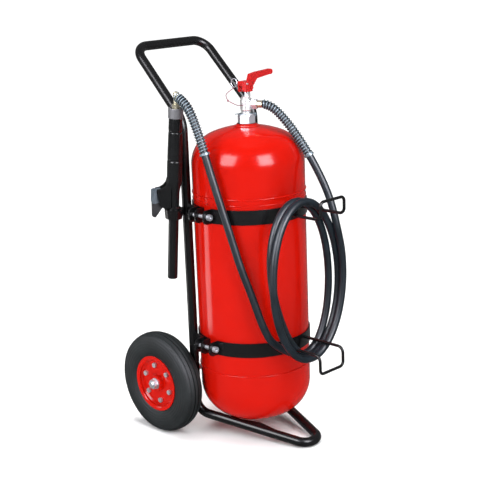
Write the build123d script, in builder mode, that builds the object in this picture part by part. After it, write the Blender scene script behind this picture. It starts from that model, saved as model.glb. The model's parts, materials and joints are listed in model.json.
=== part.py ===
"""Wheeled fire extinguisher: a steel pressure vessel strapped to a two-wheeled tubular trolley.

Frame: millimetres, +Z up, the vessel's axis on Z, the floor at z = 0.
-Y is the front of the trolley, where the hose hangs, and X runs along the wheel axle.
"""
from build123d import *
from math import atan2, cos, pi, radians, sin, sqrt, tan
import os

os.makedirs("parts", exist_ok=True)

# ---------------------------------------------------------------- driving dimensions
# pressure vessel
TANK_R = 150.0
TANK_WALL = 2.5
LOWER_SEAM_Z = 198.0
UPPER_SEAM_Z = 680.0
BOTTOM_TANGENT_Z = 148.0
BOTTOM_KNUCKLE_R = 100.0
BOTTOM_CROWN_R = 184.0
TOP_TANGENT_Z = 750.0
TOP_KNUCKLE_R = 86.0
TOP_CROWN_R = 261.0
NECK_HOLE_R = 24.0
NECK_BORE_R = 16.0
COLLAR_BASE_Z = 854.0
CHARGE_TOP_Z = 640.0
SIPHON_R = 11.0

# trolley tubes
TUBE_R = 12.5
TUBE_WALL = 2.0
UPRIGHT_X = 131.0
UPRIGHT_Y = 104.0
HANDLE_BEND_Z = 868.0
HANDLE_X = 126.0
HANDLE_Y = 285.0
HANDLE_Z = 1050.0
UPRIGHT_TOP_Z = 760.0
UPRIGHT_FOOT_Z = 105.0
REAR_BEND_Z = 60.0
FRONT_X = 27.0
FRONT_Y = -206.0
RAIL_R = 9.0

# wheels
TYRE_R = 141.0
TYRE_WIDTH = 61.0
TYRE_GROOVES = (-18, -6, 6, 18)
WHEEL_X = 180.0
AXLE_Y = 188.0
AXLE_R = 8.0
RIM_R = 70.0
RIM_FLANGE_R = 78.0
RIM_BOLT_PCD = 100.0
RIM_BOLT_COUNT = 6
RIM_BOLT_START = 20.0
HUB_R = 20.5
BEARING_R = 16.0

# bands that hold the vessel
BAND_HEIGHT = 38.0
BAND_THICKNESS = 3.0
UPPER_BAND_Z = 632.5
LOWER_BAND_Z = 275.0
EAR_REACH = 182.0
CLAMP_X = 166.0
CLAMP_BOLT_R = 5.0

# hose and its hooks
HOSE_R = 10.0
GUARD_R = 12.2
HOOK_WIRE_R = 4.0
HOOK_HALF_WIDTH = 45.0
UPPER_HOOK_Z = 640.0
LOWER_HOOK_Z = 281.0
COIL_X = -6.0
COIL_Y = -193.0
COIL_Z = 461.0
COIL_HALF_WIDTH = 136.0
COIL_HALF_HEIGHT = 214.0
COIL_DEPTH = 66.0

# discharge gun, which hangs with its axis leaning forward at the top
GUN_X = -177.0
GUN_Y = 106.3
GUN_Z = 620.0
GUN_LEAN = 6.06
BARREL_R = 13.4
BARREL_BORE_R = 6.0
MUZZLE_BORE_R = 8.0
MUZZLE_DEPTH = 30.0
TRIGGER_HEADING = 155.0
TRIGGER_PIVOT = (40.0, 74.0)

# valve
PIVOT_X = 9.0
PIVOT_Z = 945.0
LEVER_PIN_R = 3.0
SAFETY_X = -8.0
SAFETY_Z = 956.5
SAFETY_R = 2.0
OUTLET_Z = 902.0
OUTLET_HEADING = -60.0

GAP = 0.3


# ---------------------------------------------------------------- helpers
def save(part, name):
    """Label a finished piece and write it to its own STEP file."""
    part.label = name
    export_step(part, f"parts/{name}.step")


def round_bar(points, radii, outer, inner=0.0):
    """A round bar or tube along straight runs joined by tangent arcs."""
    with BuildPart() as bar:
        with BuildLine() as route:
            FilletPolyline(*points, radius=radii)
        with BuildSketch(Plane(origin=route.line @ 0, z_dir=route.line % 0)):
            Circle(outer)
            if inner:
                Circle(inner, mode=Mode.SUBTRACT)
        sweep(path=route.line)
    return bar.part


def bend_radii(points):
    """The largest tidy arc at each corner of a hose: 0.45 of the shorter run over the half-turn's tangent."""
    corners = [Vector(*p) for p in points]
    radii = []
    for before, here, after in zip(corners, corners[1:], corners[2:]):
        turn = radians((here - before).get_angle(after - here))
        shorter = min((here - before).length, (after - here).length)
        radii.append(0.45 * shorter / tan(turn / 2))
    return radii


def hose_route(points):
    """The centreline of a hose along its route points."""
    return FilletPolyline(*points, radius=bend_radii(points))


def sleeve_along(route, start, end, outer, inner=0.0):
    """A round sleeve, or a solid length if inner is 0, between two distances along a route."""
    stretch = route.trim(start / route.length, end / route.length)
    with BuildPart() as covering:
        with BuildSketch(Plane(origin=stretch @ 0, z_dir=stretch % 0)):
            Circle(outer)
            if inner:
                Circle(inner, mode=Mode.SUBTRACT)
        sweep(path=stretch)
    return covering.part


def report_hose(name, points, parts):
    """Print a hose's arcs, and its volume beside its section times its length."""
    length = hose_route(points).length
    arcs = ", ".join(f"{r:.0f}" for r in bend_radii(points))
    volume = sum(part.volume for part in parts)
    print(f"{name}: length {length:.0f}, arcs {arcs}")
    print(f"  volume {volume:.0f}, section x length {pi * HOSE_R**2 * length:.0f}")


def head_height(x, tangent_z, knuckle_r, crown_r, side):
    """Outside height of a vessel head's crown at radius x. side is +1 for the top, -1 for the bottom."""
    drop = sqrt((crown_r - knuckle_r) ** 2 - (TANK_R - knuckle_r) ** 2)
    return tangent_z + side * (sqrt(crown_r**2 - x**2) - drop)


def head_section(inset, seam_z, tangent_z, knuckle_r, crown_r, side, hole_r):
    """Inside a BuildLine block: one skin of a vessel head, from its seam to its pole or hole."""
    drop = sqrt((crown_r - knuckle_r) ** 2 - (TANK_R - knuckle_r) ** 2)
    joint = atan2(drop, TANK_R - knuckle_r)
    knuckle = knuckle_r - inset
    crown = crown_r - inset
    centre_x = TANK_R - knuckle_r

    def on_knuckle(angle):
        return (centre_x + knuckle * cos(angle), tangent_z + side * knuckle * sin(angle))

    def on_crown(x):
        return (x, tangent_z + side * (sqrt(crown**2 - x**2) - drop))

    joint_x = on_knuckle(joint)[0]
    Line((TANK_R - inset, seam_z), (TANK_R - inset, tangent_z))
    ThreePointArc(on_knuckle(0), on_knuckle(joint / 2), on_knuckle(joint))
    ThreePointArc(on_knuckle(joint), on_crown((joint_x + hole_r) / 2), on_crown(hole_r))
    return on_crown(hole_r)


def mirrored_pair(part):
    """A piece and its mirror image across the trolley's middle plane."""
    return Compound(children=[part, part.mirror(Plane.YZ)])


# ---------------------------------------------------------------- trolley frame
HANDLE_ROUTE = [
    (-UPRIGHT_X, UPRIGHT_Y, UPRIGHT_TOP_Z),
    (-UPRIGHT_X, UPRIGHT_Y, HANDLE_BEND_Z),
    (-HANDLE_X, HANDLE_Y, HANDLE_Z),
    (HANDLE_X, HANDLE_Y, HANDLE_Z),
    (UPRIGHT_X, UPRIGHT_Y, HANDLE_BEND_Z),
    (UPRIGHT_X, UPRIGHT_Y, UPRIGHT_TOP_Z),
]
save(round_bar(HANDLE_ROUTE, [70, 42, 42, 70], TUBE_R, TUBE_R - TUBE_WALL), "handle_bow")

with BuildPart() as upright:
    with BuildSketch(Plane((-UPRIGHT_X, UPRIGHT_Y, UPRIGHT_FOOT_Z))):
        Circle(TUBE_R)
        Circle(TUBE_R - TUBE_WALL, mode=Mode.SUBTRACT)
    extrude(amount=UPRIGHT_TOP_Z - UPRIGHT_FOOT_Z)
save(mirrored_pair(upright.part), "uprights")

FOOT_ROUTE = [
    (-UPRIGHT_X, UPRIGHT_Y, UPRIGHT_FOOT_Z),
    (-UPRIGHT_X, UPRIGHT_Y, REAR_BEND_Z),
    (-FRONT_X, FRONT_Y, TUBE_R),
    (FRONT_X, FRONT_Y, TUBE_R),
    (UPRIGHT_X, UPRIGHT_Y, REAR_BEND_Z),
    (UPRIGHT_X, UPRIGHT_Y, UPRIGHT_FOOT_Z),
]
save(round_bar(FOOT_ROUTE, [42, 34, 34, 42], TUBE_R, TUBE_R - TUBE_WALL), "foot_loop")

# a rail along the upper inner side of each leg, under the vessel's bottom head
RAIL_ROUTE = [(-50, -137, 24), (-63, -70, 39), (-90, 8, 41), (-119, 68, 55)]
with BuildPart() as rail:
    add(round_bar(RAIL_ROUTE, [60, 60], RAIL_R))
    add(round_bar(FOOT_ROUTE, [42, 34, 34, 42], TUBE_R), mode=Mode.SUBTRACT)
save(mirrored_pair(rail.part), "support_rails")

# plates behind the uprights that carry the axle
BRACKET_THICKNESS = 6.0
with BuildPart() as bracket:
    with BuildSketch(Plane.YZ.offset(-UPRIGHT_X - BRACKET_THICKNESS / 2)):
        with BuildLine():
            Polyline((112, 186), (112, 106), (AXLE_Y, TYRE_R - 20), (AXLE_Y, TYRE_R + 20), close=True)
        make_face()
        with Locations((AXLE_Y, TYRE_R)):
            Circle(20)
            Circle(AXLE_R, mode=Mode.SUBTRACT)
    extrude(amount=BRACKET_THICKNESS)
    with BuildSketch():
        with Locations((-UPRIGHT_X, UPRIGHT_Y)):
            Circle(TUBE_R)
    extrude(amount=250, mode=Mode.SUBTRACT)
save(mirrored_pair(bracket.part), "axle_brackets")

AXLE_HALF = 222.0
with BuildPart() as axle:
    with BuildSketch(Plane.YZ.offset(-AXLE_HALF)):
        with Locations((AXLE_Y, TYRE_R)):
            Circle(AXLE_R)
    extrude(amount=2 * AXLE_HALF)
    chamfer(axle.edges().filter_by(GeomType.CIRCLE), 1.5)
save(axle.part, "axle")

# sleeves that hold each wheel off its bracket
SLEEVE_INNER_X = UPRIGHT_X + BRACKET_THICKNESS / 2
HUB_INNER_X = WHEEL_X - 26.0
with BuildPart() as sleeve:
    with BuildSketch(Plane.YZ.offset(-HUB_INNER_X + GAP)):
        with Locations((AXLE_Y, TYRE_R)):
            Circle(12)
            Circle(AXLE_R, mode=Mode.SUBTRACT)
    extrude(amount=HUB_INNER_X - SLEEVE_INNER_X - GAP)
save(mirrored_pair(sleeve.part), "axle_sleeves")

# washer and hexagon nut on each end of the axle
HUB_OUTER_X = WHEEL_X + 26.0
with BuildPart() as axle_nut:
    with BuildSketch(Plane.YZ.offset(-HUB_OUTER_X - GAP)):
        with Locations((AXLE_Y, TYRE_R)):
            Circle(15)
            Circle(AXLE_R, mode=Mode.SUBTRACT)
    extrude(amount=-2)
    with BuildSketch(Plane.YZ.offset(-HUB_OUTER_X - GAP - 2)):
        with Locations((AXLE_Y, TYRE_R)):
            RegularPolygon(radius=12, side_count=6, major_radius=False)
            Circle(AXLE_R, mode=Mode.SUBTRACT)
    extrude(amount=-10)
save(mirrored_pair(axle_nut.part), "axle_nuts")


# ---------------------------------------------------------------- wheels
def half_rim_profile(sign, centre_x):
    """Inside a BuildSketch block on Plane.XZ: hub tube, disc, bead seat and flange of one half of the rim."""
    hub_end = 26.0
    disc_in, disc_out = 12.0, 15.0
    flange_in, flange_out = 24.0, 26.5
    well = RIM_R - 2.5
    outline = [
        (GAP / 2, BEARING_R),
        (hub_end, BEARING_R),
        (hub_end, HUB_R),
        (disc_out, HUB_R + 3),
        (disc_out, well - 4),
        (disc_out + 4, well),
        (flange_in, well),
        (flange_out, RIM_R + 1),
        (flange_out, RIM_FLANGE_R),
        (flange_in, RIM_FLANGE_R),
        (flange_in, RIM_R),
        (GAP / 2, RIM_R),
        (GAP / 2, well),
        (disc_in, well),
        (disc_in, HUB_R),
        (GAP / 2, HUB_R),
    ]
    Polygon(*[(centre_x + sign * x, r) for x, r in outline], align=None)


def wheel(side, prefix):
    """One wheel: tyre, two bolted rim halves, their bolts and two bearings, spinning on the axle."""
    centre_x = side * WHEEL_X
    spin = Axis((centre_x, AXLE_Y, TYRE_R), (1, 0, 0))
    profile_plane = Plane(origin=(0, AXLE_Y, TYRE_R), x_dir=(1, 0, 0), z_dir=(0, -1, 0))
    half = TYRE_WIDTH / 2

    with BuildPart() as tyre:
        with BuildSketch(profile_plane):
            with BuildLine():
                bead = (centre_x - 23.5, RIM_R + GAP)
                other_bead = (centre_x + 23.5, RIM_R + GAP)
                shoulder = (centre_x - 23.5, RIM_FLANGE_R + 1)
                other_shoulder = (centre_x + 23.5, RIM_FLANGE_R + 1)
                Line(bead, shoulder)
                tread_edge = (centre_x - 25, TYRE_R - 7)
                other_tread_edge = (centre_x + 25, TYRE_R - 7)
                ThreePointArc(shoulder, (centre_x - half, 106), tread_edge)
                ThreePointArc(tread_edge, (centre_x, TYRE_R), other_tread_edge)
                ThreePointArc(other_tread_edge, (centre_x + half, 106), other_shoulder)
                Line(other_shoulder, other_bead)
                Line(other_bead, (centre_x + 16, RIM_R + GAP))
                ThreePointArc(
                    (centre_x + 16, RIM_R + GAP), (centre_x + half - 7, 104), (centre_x + 16, TYRE_R - 17)
                )
                ThreePointArc(
                    (centre_x + 16, TYRE_R - 17), (centre_x, TYRE_R - 10), (centre_x - 16, TYRE_R - 17)
                )
                ThreePointArc(
                    (centre_x - 16, TYRE_R - 17), (centre_x - half + 7, 104), (centre_x - 16, RIM_R + GAP)
                )
                Line((centre_x - 16, RIM_R + GAP), bead)
            make_face()
            for groove in TYRE_GROOVES:
                with Locations((centre_x + groove, TYRE_R)):
                    Rectangle(4, 8, mode=Mode.SUBTRACT)
        revolve(axis=spin)
    save(tyre.part, f"{prefix}_tyre")

    for sign, name in ((side, "rim_outer"), (-side, "rim_inner")):
        with BuildPart() as rim:
            with BuildSketch(profile_plane):
                half_rim_profile(sign, centre_x)
            revolve(axis=spin)
            with BuildSketch(Plane(origin=(centre_x, AXLE_Y, TYRE_R), x_dir=(0, 1, 0), z_dir=(1, 0, 0))):
                with PolarLocations(RIM_BOLT_PCD / 2, RIM_BOLT_COUNT, start_angle=RIM_BOLT_START):
                    Circle(4.2)
            extrude(amount=sign * 20, mode=Mode.SUBTRACT)
        save(rim.part, f"{prefix}_{name}")

    with BuildPart() as bolts:
        with BuildSketch(Plane(origin=(centre_x - side * 20, AXLE_Y, TYRE_R), x_dir=(0, 1, 0), z_dir=(1, 0, 0))):
            with PolarLocations(RIM_BOLT_PCD / 2, RIM_BOLT_COUNT, start_angle=RIM_BOLT_START):
                Circle(4)
        extrude(amount=side * 38)
        for start in (15.0 + GAP, -15.0 - GAP - 6):
            origin = (centre_x + side * start, AXLE_Y, TYRE_R)
            with BuildSketch(Plane(origin=origin, x_dir=(0, 1, 0), z_dir=(1, 0, 0))):
                with PolarLocations(RIM_BOLT_PCD / 2, RIM_BOLT_COUNT, start_angle=RIM_BOLT_START):
                    RegularPolygon(radius=6.5, side_count=6, major_radius=False)
            extrude(amount=side * 6)
    save(bolts.part, f"{prefix}_rim_bolts")

    with BuildPart() as bearings:
        for offset in (-24.5, 12.5):
            origin = (centre_x + offset, AXLE_Y, TYRE_R)
            with BuildSketch(Plane(origin=origin, x_dir=(0, 1, 0), z_dir=(1, 0, 0))):
                Circle(BEARING_R - 0.05)
                Circle(AXLE_R + 0.05, mode=Mode.SUBTRACT)
            extrude(amount=12)
    save(bearings.part, f"{prefix}_bearings")


wheel(-1, "left")
wheel(1, "right")


# ---------------------------------------------------------------- bands and clamps
BAND_INNER_R = TANK_R + GAP
BAND_OUTER_R = BAND_INNER_R + BAND_THICKNESS
FRONT_EAR_Y = -11.0
REAR_EAR_Y = 19.5
LUG_Y = 42.5
EAR_THICKNESS = 4.0


def band(centre_z, ear_y, keep_front):
    """Half of a clamp band: a strip round the vessel with an ear turned outwards at each end."""
    side = -1 if keep_front else 1
    cut_y = ear_y - side * EAR_THICKNESS / 2
    with BuildPart() as strip:
        with BuildSketch(Plane.XY.offset(centre_z - BAND_HEIGHT / 2)):
            Circle(BAND_OUTER_R)
            Circle(BAND_INNER_R, mode=Mode.SUBTRACT)
            with Locations((0, cut_y - side * TANK_R)):
                Rectangle(3 * TANK_R, 2 * TANK_R, mode=Mode.SUBTRACT)
            ear_width = EAR_REACH - BAND_INNER_R - 1
            for end in (-1, 1):
                with Locations((end * (EAR_REACH - ear_width / 2), ear_y)):
                    Rectangle(ear_width, EAR_THICKNESS)
        extrude(amount=BAND_HEIGHT)
        corners = strip.edges().filter_by(Axis.Y).filter_by(lambda e: abs(e.center().X) > EAR_REACH - 1)
        fillet(corners, 14)
        with BuildSketch(Plane.XZ.offset(-ear_y + EAR_THICKNESS)):
            with Locations((-CLAMP_X, centre_z), (CLAMP_X, centre_z)):
                Circle(CLAMP_BOLT_R + GAP)
        extrude(amount=-2 * EAR_THICKNESS, mode=Mode.SUBTRACT)
    return strip.part


for ear_y, in_front, name in ((FRONT_EAR_Y, True, "front_bands"), (REAR_EAR_Y, False, "rear_bands")):
    pair = [band(centre_z, ear_y, in_front) for centre_z in (LOWER_BAND_Z, UPPER_BAND_Z)]
    save(Compound(children=pair), name)

# lugs welded to the uprights; each takes the end of a clamp bolt
with BuildPart() as lugs:
    for centre_z in (UPPER_BAND_Z, LOWER_BAND_Z):
        with BuildSketch(Plane.XY.offset(centre_z - BAND_HEIGHT / 2)):
            Polygon(
                *[
                    (-EAR_REACH, LUG_Y - 2.5),
                    (-150, LUG_Y - 2.5),
                    (-150, LUG_Y + 2.5),
                    (-134, 97),
                    (-139, 98),
                    (-155, LUG_Y + 2.5),
                    (-EAR_REACH, LUG_Y + 2.5),
                ],
                align=None,
            )
        extrude(amount=BAND_HEIGHT)
    rounded = lugs.edges().filter_by(Axis.Y).filter_by(lambda e: e.center().X < -EAR_REACH + 1)
    fillet(rounded, 14)
    with BuildSketch(Plane.XZ.offset(-LUG_Y + 5)):
        with Locations((-CLAMP_X, UPPER_BAND_Z), (-CLAMP_X, LOWER_BAND_Z)):
            Circle(CLAMP_BOLT_R + GAP)
    extrude(amount=-10, mode=Mode.SUBTRACT)
    with BuildSketch():
        with Locations((-UPRIGHT_X, UPRIGHT_Y)):
            Circle(TUBE_R)
    extrude(amount=700, mode=Mode.SUBTRACT)
save(mirrored_pair(lugs.part), "clamp_lugs")

CLAMP_PLACES = [
    (x, z) for x in (-CLAMP_X, CLAMP_X) for z in (LOWER_BAND_Z, UPPER_BAND_Z)
]
HEAD_FACE_Y = FRONT_EAR_Y - EAR_THICKNESS / 2 - GAP
with BuildPart() as clamp_bolts:
    with BuildSketch(Plane.XZ.offset(-HEAD_FACE_Y)):
        with Locations(*CLAMP_PLACES):
            Circle(8)
    extrude(amount=10)
    with BuildSketch(Plane.XZ.offset(-HEAD_FACE_Y)):
        with Locations(*CLAMP_PLACES):
            Circle(CLAMP_BOLT_R)
    extrude(amount=-70)
    with BuildSketch(Plane.XZ.offset(-HEAD_FACE_Y + 10)):
        with Locations(*CLAMP_PLACES):
            RegularPolygon(radius=4, side_count=6, major_radius=False)
    extrude(amount=-5, mode=Mode.SUBTRACT)
save(clamp_bolts.part, "clamp_bolts")

with BuildPart() as clamp_nuts:
    with BuildSketch(Plane.XZ.offset(-LUG_Y - 2.5 - GAP)):
        with Locations(*CLAMP_PLACES):
            RegularPolygon(radius=8, side_count=6, major_radius=False)
            Circle(CLAMP_BOLT_R, mode=Mode.SUBTRACT)
    extrude(amount=-8)
save(clamp_nuts.part, "clamp_nuts")


# ---------------------------------------------------------------- hose hooks
def hose_hook(level_z, reach_y, turn_z):
    """A wire loop that stands out from the front band and turns up or down at its end."""
    start_y = 4 - sqrt(BAND_OUTER_R**2 - HOOK_HALF_WIDTH**2)
    route = [
        (-HOOK_HALF_WIDTH, start_y, level_z),
        (-HOOK_HALF_WIDTH, reach_y, level_z),
        (-HOOK_HALF_WIDTH, reach_y, turn_z),
        (HOOK_HALF_WIDTH, reach_y, turn_z),
        (HOOK_HALF_WIDTH, reach_y, level_z),
        (HOOK_HALF_WIDTH, start_y, level_z),
    ]
    with BuildPart() as hook:
        add(round_bar(route, [16, 12, 12, 16], HOOK_WIRE_R))
        with BuildSketch(Plane.XY.offset(level_z - 10)):
            Circle(BAND_OUTER_R)
        extrude(amount=20, mode=Mode.SUBTRACT)
    return hook.part


save(hose_hook(UPPER_HOOK_Z, -290, UPPER_HOOK_Z + 45), "upper_hose_hook")
save(hose_hook(LOWER_HOOK_Z, -278, LOWER_HOOK_Z - 50), "lower_hose_hook")

# ---------------------------------------------------------------- pressure vessel
SEAM_BEAD = 2.2
with BuildPart() as tank_body:
    with BuildSketch(Plane.XZ):
        with Locations((TANK_R - TANK_WALL / 2, (LOWER_SEAM_Z + UPPER_SEAM_Z) / 2)):
            Rectangle(TANK_WALL, UPPER_SEAM_Z - LOWER_SEAM_Z)
        with Locations((TANK_R, LOWER_SEAM_Z + SEAM_BEAD), (TANK_R, UPPER_SEAM_Z - SEAM_BEAD)):
            Circle(SEAM_BEAD)
        with Locations((TANK_R, UPPER_SEAM_Z - 18)):
            Circle(SEAM_BEAD - 0.7)
    revolve(axis=Axis.Z)
save(tank_body.part, "tank_body")

TOP = (TOP_TANGENT_Z, TOP_KNUCKLE_R, TOP_CROWN_R, 1)
BOTTOM = (BOTTOM_TANGENT_Z, BOTTOM_KNUCKLE_R, BOTTOM_CROWN_R, -1)
for seam_z, head, hole_r, name in (
    (UPPER_SEAM_Z, TOP, NECK_HOLE_R, "tank_top_dome"),
    (LOWER_SEAM_Z, BOTTOM, 0.0, "tank_bottom_dome"),
):
    with BuildPart() as dome:
        with BuildSketch(Plane.XZ):
            with BuildLine():
                outer_end = head_section(0, seam_z, *head, hole_r)
                inner_end = head_section(TANK_WALL, seam_z, *head, hole_r)
                Line((TANK_R - TANK_WALL, seam_z), (TANK_R, seam_z))
                Line(inner_end, outer_end)
            make_face()
        revolve(axis=Axis.Z)
    save(dome.part, name)

NECK_TOP_Z = COLLAR_BASE_Z - 1.5
neck_shoulder_z = head_height(36, *TOP) + 0.2
with BuildPart() as tank_neck_ring:
    with BuildSketch(Plane.XZ):
        Polygon(
            *[
                (NECK_BORE_R, 834),
                (NECK_HOLE_R - 0.2, 834),
                (NECK_HOLE_R - 0.2, head_height(NECK_HOLE_R, *TOP) + 0.2),
                (36, neck_shoulder_z),
                (35, neck_shoulder_z + 1.5),
                (28, NECK_TOP_Z - 3),
                (26, NECK_TOP_Z),
                (NECK_BORE_R, NECK_TOP_Z),
            ],
            align=None,
        )
    revolve(axis=Axis.Z)
save(tank_neck_ring.part, "tank_neck_ring")

with BuildPart() as neck_gasket:
    with BuildSketch(Plane.XY.offset(NECK_TOP_Z)):
        Circle(24)
        Circle(NECK_BORE_R, mode=Mode.SUBTRACT)
    extrude(amount=COLLAR_BASE_Z - NECK_TOP_Z)
save(neck_gasket.part, "neck_gasket")

SIPHON_TOP_Z = 822.0
with BuildPart() as siphon_tube:
    with BuildSketch(Plane.XY.offset(48)):
        Circle(SIPHON_R)
        Circle(SIPHON_R - 1.5, mode=Mode.SUBTRACT)
    extrude(amount=SIPHON_TOP_Z - 48)
save(siphon_tube.part, "siphon_tube")

# the extinguishing agent, filling the vessel's lower part round the siphon tube
CHARGE_INSET = TANK_WALL + GAP
with BuildPart() as agent_charge:
    with BuildSketch(Plane.XZ):
        with BuildLine():
            pole = head_section(CHARGE_INSET, LOWER_SEAM_Z, *BOTTOM, 0.0)
            Line((TANK_R - CHARGE_INSET, LOWER_SEAM_Z), (TANK_R - CHARGE_INSET, CHARGE_TOP_Z))
            Line((TANK_R - CHARGE_INSET, CHARGE_TOP_Z), (0, CHARGE_TOP_Z))
            Line((0, CHARGE_TOP_Z), pole)
        make_face()
    revolve(axis=Axis.Z)
    with BuildSketch(Plane.XY.offset(46)):
        Circle(SIPHON_R + GAP)
    extrude(amount=CHARGE_TOP_Z, mode=Mode.SUBTRACT)
save(agent_charge.part, "agent_charge")

# ---------------------------------------------------------------- valve
COLLAR_TOP_Z = 877.0
BODY_R = 13.0
SHOULDER_Z = 922.0
SPINDLE_R = 3.0
PISTON_R = 5.5
VALVE_BORE_R = 6.5
TONGUE_HALF = 5.0
OUTLET = Plane(
    origin=(0, 0, OUTLET_Z),
    z_dir=(cos(radians(OUTLET_HEADING)), sin(radians(OUTLET_HEADING)), 0),
)
with BuildPart() as valve_body:
    with BuildSketch(Plane.XZ):
        Polygon(
            (5, SIPHON_TOP_Z),
            (NECK_BORE_R - 0.1, SIPHON_TOP_Z),
            (NECK_BORE_R - 0.1, COLLAR_BASE_Z),
            (BODY_R, COLLAR_BASE_Z),
            (BODY_R, 884),
            (15, 888),
            (15, 913),
            (BODY_R, 916),
            (BODY_R, SHOULDER_Z - 2),
            (BODY_R - 2, SHOULDER_Z),
            (SPINDLE_R + 0.05, SHOULDER_Z),
            (SPINDLE_R + 0.05, 908),
            (VALVE_BORE_R, 908),
            (VALVE_BORE_R, 868),
            (5, 868),
            align=None,
        )
    revolve(axis=Axis.Z)
    # tongue that the lever is hinged on
    with BuildSketch(Plane.XZ.offset(-TONGUE_HALF)):
        with Locations(((3.2 + BODY_R) / 2, (SHOULDER_Z + PIVOT_Z) / 2 - 0.5)):
            Rectangle(BODY_R - 3.2, PIVOT_Z - SHOULDER_Z + 1)
        with Locations((PIVOT_X, PIVOT_Z)):
            Circle(6)
    extrude(amount=2 * TONGUE_HALF)
    with BuildSketch(Plane.XZ.offset(-20)):
        with Locations((PIVOT_X, PIVOT_Z)):
            Circle(LEVER_PIN_R)
    extrude(amount=40, mode=Mode.SUBTRACT)
    # threaded outlet stub
    with BuildSketch(OUTLET.offset(10)):
        Circle(7)
    extrude(amount=20)
    with BuildSketch(OUTLET):
        Circle(4.5)
    extrude(amount=30, mode=Mode.SUBTRACT)
    with BuildSketch(Plane.XY.offset(868)):
        Circle(VALVE_BORE_R)
    extrude(amount=40, mode=Mode.SUBTRACT)
save(valve_body.part, "valve_body")

with BuildPart() as valve_collar_nut:
    with BuildSketch(Plane.XY.offset(COLLAR_BASE_Z)):
        RegularPolygon(radius=23.5, side_count=6)
        Circle(BODY_R, mode=Mode.SUBTRACT)
    extrude(amount=COLLAR_TOP_Z - COLLAR_BASE_Z)
    with BuildSketch(Plane.XZ):
        Polygon((20, COLLAR_TOP_Z), (26, COLLAR_TOP_Z), (26, 871), (23.5, 871), align=None)
    revolve(axis=Axis.Z, mode=Mode.SUBTRACT)
save(valve_collar_nut.part, "valve_collar_nut")

PLATE = 1.5
with BuildPart() as valve_lock_plate:
    with BuildSketch(Plane.XY.offset(COLLAR_TOP_Z)):
        Circle(19)
        with PolarLocations(0, 1, start_angle=150):
            Polygon((10, 9), (31, 2), (31, -2), (10, -9), align=None)
        with PolarLocations(0, 1, start_angle=-30):
            Polygon((10, 7), (25.5, 6), (25.5, -6), (10, -7), align=None)
        Circle(BODY_R, mode=Mode.SUBTRACT)
    extrude(amount=PLATE)
    with BuildSketch(Plane.XY.offset(COLLAR_TOP_Z - 8)):
        with PolarLocations(0, 1, start_angle=-30):
            Polygon((24, 6), (25.5, 6), (25.5, -6), (24, -6), align=None)
    extrude(amount=8 + PLATE)
save(valve_lock_plate.part, "valve_lock_plate")

with BuildPart() as valve_spindle:
    with BuildSketch(Plane.XY.offset(906)):
        Circle(SPINDLE_R)
    extrude(amount=PIVOT_Z + 6.2 - 906)
    with BuildSketch(Plane.XY.offset(897)):
        Circle(PISTON_R)
    extrude(amount=9.5)
save(valve_spindle.part, "valve_spindle")

with BuildPart() as valve_spring:
    with BuildSketch(Plane.XY.offset(868)):
        Circle(PISTON_R)
        Circle(PISTON_R - 1.5, mode=Mode.SUBTRACT)
    extrude(amount=897 - 868)
save(valve_spring.part, "valve_spring")

# lever: a cap over the tongue and spindle, with the arm rising from it
CAP_HALF_WIDTH = 14.0
ARM_HALF_WIDTH = 6.0
with BuildPart() as valve_lever:
    with BuildSketch(Plane.XZ.offset(-CAP_HALF_WIDTH)):
        with BuildLine():
            Polyline((-12, 935), (15, 935), (18, 938), (18, 958), (14, 962), (-14, 962), (-18, 958), (-18, 941))
            Line((-18, 941), (-12, 935))
        make_face()
    extrude(amount=2 * CAP_HALF_WIDTH)
    fillet(valve_lever.edges().filter_by(Axis.Z), 8)
    with BuildSketch(Plane.XZ.offset(-ARM_HALF_WIDTH)):
        Polygon(
            (6, 957), (17, 944), (24, 947), (40, 965), (92, 971.5), (92, 985), (40, 982), (17, 978.5), (10, 962),
            align=None,
        )
        with Locations((92, 977.8)):
            Circle(7.3)
    extrude(amount=2 * ARM_HALF_WIDTH)
    with BuildSketch(Plane.XZ.offset(-TONGUE_HALF - 0.4)):
        Polygon(
            (-40, 900), (40, 900), (40, PIVOT_Z + 6.5), (-40, PIVOT_Z + 6.5),
            align=None,
        )
    extrude(amount=2 * TONGUE_HALF + 0.8, mode=Mode.SUBTRACT)
    with BuildSketch(Plane.XZ.offset(-30)):
        with Locations((PIVOT_X, PIVOT_Z)):
            Circle(LEVER_PIN_R + 0.05)
        with Locations((SAFETY_X, SAFETY_Z)):
            Circle(SAFETY_R + 0.05)
    extrude(amount=60, mode=Mode.SUBTRACT)
save(valve_lever.part, "valve_lever")

with BuildPart() as lever_pin:
    with BuildSketch(Plane.XZ.offset(-CAP_HALF_WIDTH - 2)):
        with Locations((PIVOT_X, PIVOT_Z)):
            Circle(LEVER_PIN_R)
    extrude(amount=2 * CAP_HALF_WIDTH + 4)
    for start in (-CAP_HALF_WIDTH - 2.4, CAP_HALF_WIDTH + 0.4):
        with BuildSketch(Plane.XZ.offset(start)):
            with Locations((PIVOT_X, PIVOT_Z)):
                Circle(5)
        extrude(amount=2)
save(lever_pin.part, "lever_pin")

with BuildPart() as safety_pin:
    with BuildSketch(Plane.XZ.offset(-20)):
        with Locations((SAFETY_X, SAFETY_Z)):
            Circle(SAFETY_R)
    extrude(amount=38)
    with BuildSketch(Plane.XY.offset(SAFETY_Z - 1.4)):
        with Locations((SAFETY_X, 21)):
            Circle(4)
            Circle(1.6, mode=Mode.SUBTRACT)
    extrude(amount=2.8)
save(safety_pin.part, "safety_pin")

RING_R = 11.0
RING_WIRE_R = 1.0
RING_Y = 21.0 + RING_R
with BuildPart() as pull_ring:
    with BuildSketch(Plane.XZ.offset(-RING_Y)):
        with Locations((SAFETY_X, SAFETY_Z - RING_R)):
            Circle(RING_WIRE_R)
    revolve(axis=Axis((SAFETY_X, RING_Y, SAFETY_Z), (1, 0, 0)))
save(pull_ring.part, "pull_ring")

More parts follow.
